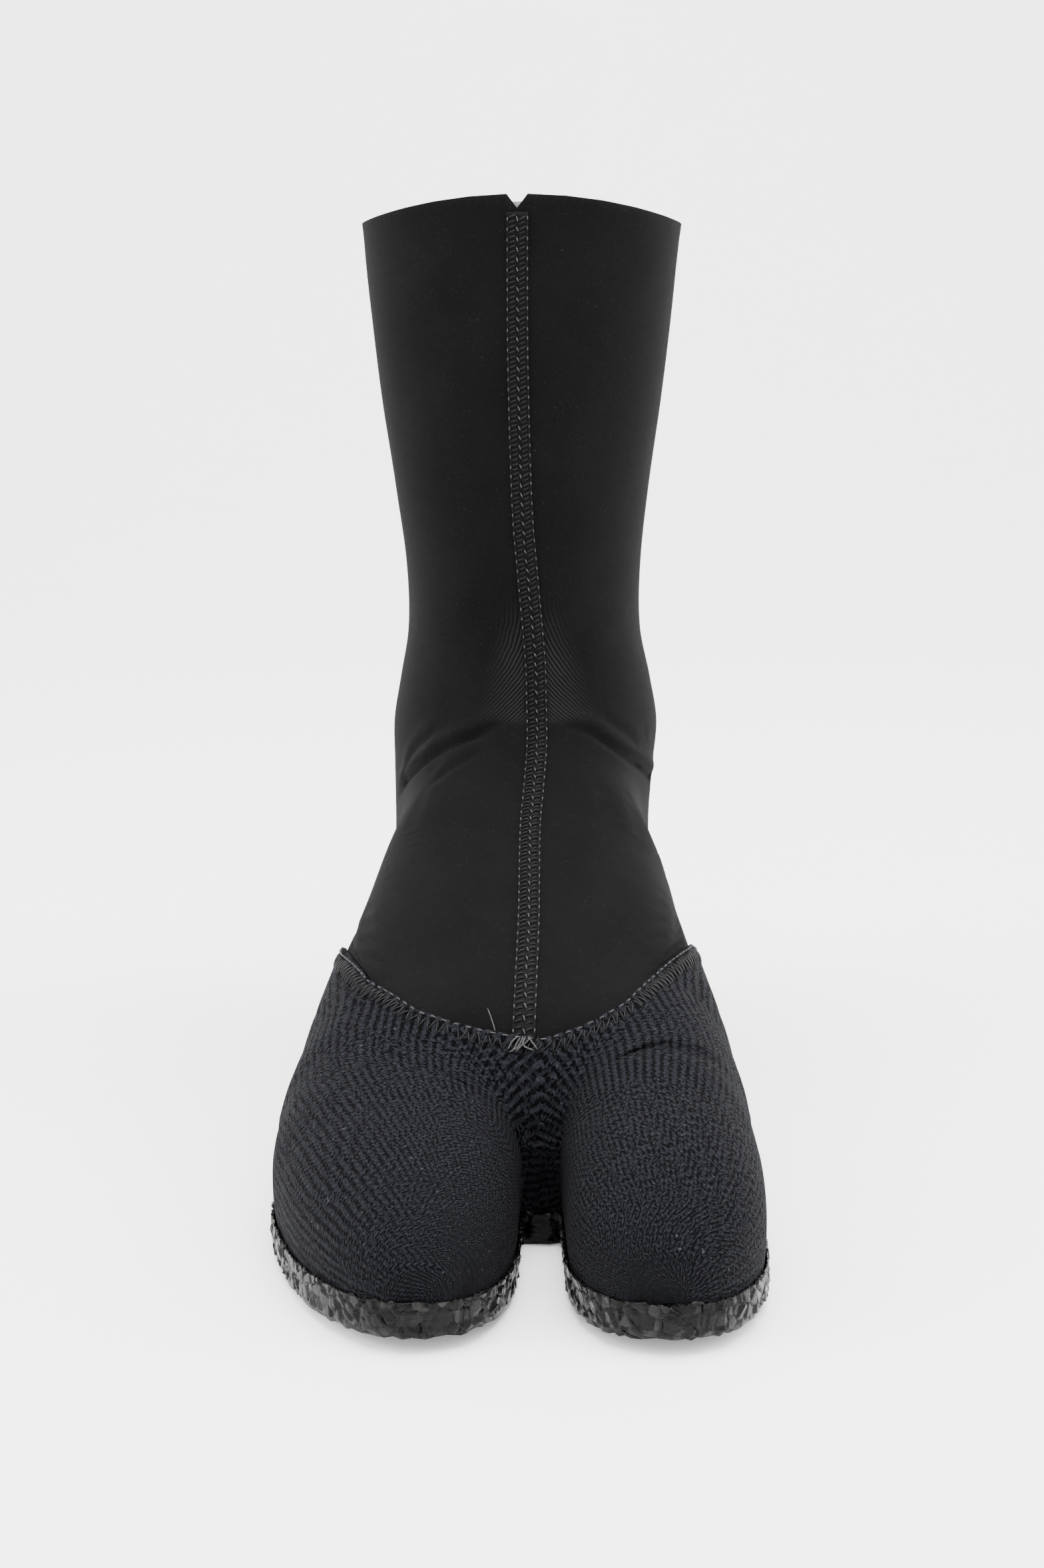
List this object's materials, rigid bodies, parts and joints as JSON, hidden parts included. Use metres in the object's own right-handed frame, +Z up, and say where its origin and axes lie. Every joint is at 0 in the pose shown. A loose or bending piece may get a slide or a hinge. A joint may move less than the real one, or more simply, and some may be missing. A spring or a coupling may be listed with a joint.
{
  "type": "split-toe neoprene boot",
  "caption": "Right split-toe neoprene boot: ankle-high soft upper with a front seam, a knit toe cover over separate toe lobes, and a moulded rubber cup sole.",
  "frame": {"origin": "on the ground under the middle of the boot's bounding box", "axes": "+Z up, the toes point along -Y, the big toe is on the +X side"},
  "size_m": [0.118, 0.2736, 0.2415],
  "materials": {
    "rubber": "glossy moulded rubber with pebbled cells",
    "lining": "matte foam with a fabric face",
    "neoprene": "matte neoprene with a fine nap",
    "knit": "matte knit",
    "thread": "dense stitching, slight sheen"
  },
  "bodies": {
    "root": {"outsole": "rubber", "insole": "lining", "upper": "neoprene", "toe_cover": "knit", "front_seam": "thread", "back_seam": "thread"}
  },
  "joints": []
}
